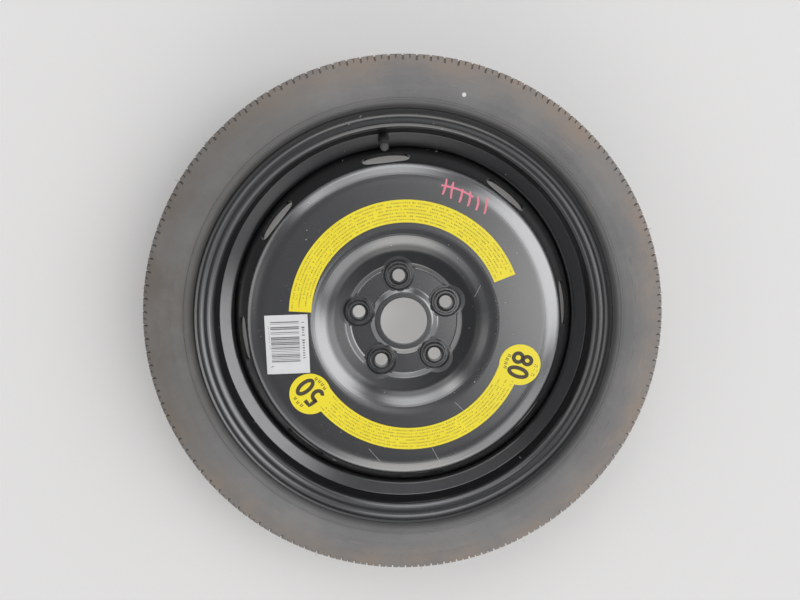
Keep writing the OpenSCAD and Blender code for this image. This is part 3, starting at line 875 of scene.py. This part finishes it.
def stockPrint(flow, given):
    # plain bars, a column of short marks at their right and a few small ones at their left
    rows = []
    for start, end, count, wide, tall, step, gaps, low in labels["stockRows"]:
        size = (wide, tall, labels["thin"])
        rows.append(straightRow(flow, start, end, count, size, given["Seed"] + step, gaps, low))
    x, y = labels["stock"]["centre"]
    placed = flow.node("GeometryNodeTransform", None, {
        "Geometry": join(flow, rows), "Translation": (x * mm, y * mm, 0),
        "Rotation": (0, 0, math.radians(labels["stock"]["turn"]))})
    return drape(flow, [placed], nodes["stock_label"])


addBandPrint("upper")
addBandPrint("lower")
printed = growPiece("stockPrint", {"Seed": labels["stock"]["seed"]}, stockPrint, finishes["palePrint"])
print("label print ready")


# drawn strokes: numerals, marker, scratches and chips
def surfaceUnder(names):
    trees = []
    for name in names:
        mesh = nodes[name].data
        corners = [v.co.copy() for v in mesh.vertices]
        trees.append(BVHTree.FromPolygons(corners, [p.vertices[:] for p in mesh.polygons]))

    def heightAt(x, y):
        hits = [tree.ray_cast(Vector((x, y, overhead)), Vector((0, 0, -1)))[0] for tree in trees]
        return max((hit.z for hit in hits if hit), default=None)
    return heightAt


def strokeMesh(paths, thick, heightAt):
    # flat closed ribbons laid on a surface, from (points in mm, width in mm, closed) paths
    verts, faces = [], []
    for points, width, closed in paths:
        count = len(points)
        rows = []
        for i, point in enumerate(points):
            before = points[(i - 1) % count] if closed or i else point
            after = points[(i + 1) % count] if closed or i < count - 1 else point
            along = Vector((after[0] - before[0], after[1] - before[1])).normalized()
            side = Vector((-along.y, along.x)) * (width[i] if isinstance(width, list) else width) / 2
            for sign in (1, -1):
                x, y = (point[0] + side.x * sign) * mm, (point[1] + side.y * sign) * mm
                z = heightAt(x, y)
                if z is None:
                    break
                rows += [(x, y, z + thick * mm), (x, y, z - thick * mm)]
        if len(rows) != count * 4:
            continue
        base = len(verts)
        verts += rows
        loops = count if closed else count - 1
        for i in range(loops):
            a, b = base + i * 4, base + (i + 1) % count * 4
            faces += [(a, a + 2, b + 2, b), (a + 1, b + 1, b + 3, a + 3),
                      (a, b, b + 1, a + 1), (a + 2, a + 3, b + 3, b + 2)]
        if not closed:
            last = base + (count - 1) * 4
            faces += [(base, base + 1, base + 3, base + 2), (last, last + 2, last + 3, last + 1)]
    return verts, faces


def ring(x, y, rx, ry, start=0, end=360, steps=30):
    closed = end - start == 360
    angles = np.radians(np.linspace(start, end, steps, endpoint=not closed))
    return [(x + rx * math.cos(a), y + ry * math.sin(a)) for a in angles]


numerals = {
    "stroke": 4.7,
    "pitch": 17.0,
    "thin": 0.04,
    # the middle, and the angle in which up points
    "places": {"50": ((-122.8, -71.5), -146.5), "80": ((133.9, -67.9), -24.8)},
    "0": [(ring(0, 0, 5.2, 11.2, steps=44), True)],
    "8": [(ring(0, -5.6, 5.5, 5.5), True), (ring(0, 5.9, 4.7, 5.1), True)],
    "5": [([(4.8, 11.0), (1.0, 11.0), (-3.2, 11.0), (-3.6, 7.0), (-4.2, 0.6), (-3.0, 1.6)]
           + ring(-0.3, -4.5, 5.0, 6.4, 105, -140, 24), False)],
    "beside": [(19.3, 3, 17.0), (-18.3, 4, 20.0)],  # short marks: height, count, length of the row
    "besideStroke": 0.9,
    "besideSag": 0.22,
    "besideDash": (1.2, 2),  # half width and half height
}


def addNumerals():
    paths = []
    for text, (middle, upAngle) in numerals["places"].items():
        angle = math.radians(upAngle)
        up, right = Vector((math.cos(angle), math.sin(angle))), Vector((math.sin(angle), -math.cos(angle)))

        def onLabel(points, shift):
            return [tuple(Vector(middle) + right * (px + shift) + up * py) for px, py in points]
        for i, digit in enumerate(text):
            for points, closed in numerals[digit]:
                paths.append((onLabel(points, (i - 0.5) * numerals["pitch"]), numerals["stroke"], closed))
        wide, tall = numerals["besideDash"]
        for place, count, length in numerals["beside"]:
            for k in range(count):
                at = (k - (count - 1) / 2) * length / count
                level = place + abs(at) * numerals["besideSag"] * (1 if place < 0 else -1)
                for part in (-wide, wide):
                    dash = onLabel([(part, level - tall), (part * 0.6, level + tall)], at)
                    paths.append((dash, numerals["besideStroke"], False))
    under = surfaceUnder(["speed_label_upper", "speed_label_lower"])
    verts, faces = strokeMesh(paths, numerals["thin"], under)
    addPiece("labelNumerals", verts, faces, finishes["darkInk"])


addNumerals()

marker = {
    "width": 2.6,
    "from": (64.5, 155.0),
    "step": (9.3, -5.6),  # from one stroke to the next, in mm
    "up": (0.33, 0.94),
    "tall": 19.0,
    "strokes": 6,
    "wobble": 2.5,  # most sideways lean of a stroke, in mm
    "across": (0.35, 3.4),  # steps by which the stroke across starts before and ends after the first one
    "acrossRise": 3,
    "acrossBend": 2.5,
    "acrossWidth": 0.85,
    "thin": 0.04,
    "seed": 5,
}


def addMarker():
    # a row of strokes drawn by hand, with one across the first of them
    rng = random.Random(marker["seed"])
    up = Vector(marker["up"])
    paths = []
    for i in range(marker["strokes"]):
        foot = Vector(marker["from"]) + Vector(marker["step"]) * i - up * marker["tall"] / 2
        lean, bend = rng.uniform(-marker["wobble"], marker["wobble"]), rng.uniform(-1.5, 1.5)
        tall = marker["tall"] * rng.uniform(0.8, 1.05)
        points, widths = [], []
        for t in np.linspace(0, 1, 14):
            side = lean * t + bend * math.sin(math.pi * t)
            point = foot + up * tall * t + Vector((up.y, -up.x)) * side
            points.append(tuple(point))
            swell = 0.75 + 0.3 * math.sin(math.pi * t) + rng.uniform(-0.08, 0.08)
            widths.append(marker["width"] * swell)
        paths.append((points, widths, False))
    before, after = marker["across"]
    first = Vector(marker["from"]) - Vector(marker["step"]) * before
    last = Vector(marker["from"]) + Vector(marker["step"]) * after + up * marker["acrossRise"]
    bow = up * marker["acrossBend"]
    across = [tuple(first.lerp(last, t) + bow * math.sin(3 * t)) for t in np.linspace(0, 1, 18)]
    paths.append((across, marker["width"] * marker["acrossWidth"], False))
    verts, faces = strokeMesh(paths, marker["thin"], surfaceUnder(["wheel_disc"]))
    addPiece("markerStrokes", verts, faces, finishes["pinkMarker"])


addMarker()

wear = {
    "chips": [  # place, size and turn in degrees
        (-24.0, 244.5, 2.6, 12), (-38.0, 238.0, 1.4, 70), (-20.0, 247.5, 1.2, 5), (62.7, 199.7, 2.6, 5),
        (-103.9, 111.7, 1.5, 20), (77.2, -82.0, 1.6, 60), (-105.9, -165.1, 4.5, -30),
        (46.2, -192.3, 1.7, 10), (-52.0, 201.0, 2.0, 80), (178.5, -97.0, 1.4, 0), (-196.0, 68.0, 1.5, 40),
    ],
    "chipShape": (0.25, 0.55, 0.3),  # width at its start, middle and end, as a share of its size
    "scratches": [
        ((14.9, -152.7), (24.8, -177.7)), ((50.8, -104.3), (60.6, -116.5)),
        ((-60.0, -150.0), (-48.0, -168.0)), ((88.0, 20.0), (96.0, 34.0)),
    ],
    "scratchWidth": 0.28,
    "specks": 46, "speckZone": (75, 236), "speckSize": (0.25, 0.8),
    "thin": 0.05,
    "seed": 8,
}


def addWear():
    rng = random.Random(wear["seed"])
    paths = []
    for x, y, size, turn in wear["chips"]:
        along = Vector((math.cos(math.radians(turn)), math.sin(math.radians(turn)))) * size / 2
        points = [(x - along.x, y - along.y), (x, y), (x + along.x, y + along.y)]
        paths.append((points, [size * share for share in wear["chipShape"]], False))
    for start, end in wear["scratches"]:
        points = [tuple(Vector(start).lerp(Vector(end), t)) for t in np.linspace(0, 1, 8)]
        paths.append((points, wear["scratchWidth"], False))
    for i in range(wear["specks"]):
        radius, angle = rng.uniform(*wear["speckZone"]), rng.uniform(0, 2 * math.pi)
        size = rng.uniform(*wear["speckSize"])
        x, y = radius * math.cos(angle), radius * math.sin(angle)
        paths.append(([(x - size, y), (x, y + size * 0.3), (x + size * 0.7, y)], [0.2, size, 0.25], False))
    verts, faces = strokeMesh(paths, wear["thin"], surfaceUnder(["wheel_disc", "rim"]))
    addPiece("paintChips", verts, faces, finishes["barePrimer"])


addWear()
print("strokes ready")


# plain raised marks on both sidewalls
sideMarks = {
    "rows": [  # radius, first and last angle, pitch, wide, tall
        (282, -38, 14, 21, 13, 18), (291, -112, -80, 9, 4.5, 8), (275, -116, -78, 7.5, 4, 7),
        (280, 78, 100, 9, 4, 8), (266, 80, 98, 7, 3.5, 5), (282, 150, 196, 21, 13, 18),
        (270, 30, 58, 7.5, 4, 6), (268, 205, 232, 7.5, 4, 6),
    ],
    "lift": 0.35,
    "seed": 31,
}


def sidewallMarks(flow, given):
    thick = sideMarks["lift"] * 2
    rows = [arcRow(flow, (0, 0), *run, (wide, tall, thick), given["Seed"] + 3 * i)
            for i, (*run, wide, tall) in enumerate(sideMarks["rows"])]
    return drape(flow, rows, bpy.data.objects["dressedTyre"])


def addSideMarks():
    given = {"Seed": sideMarks["seed"]}
    front = growPiece("sidewallMarks", given, sidewallMarks, finishes["dustyRubber"])
    mesh = front.data.copy()  # the same, turned to the other side
    mesh.transform(Matrix.Diagonal((1, 1, -1, 1)))
    mesh.flip_normals()
    finishPiece("backSidewallMarks", mesh)


addSideMarks()
print("sidewall marks ready")
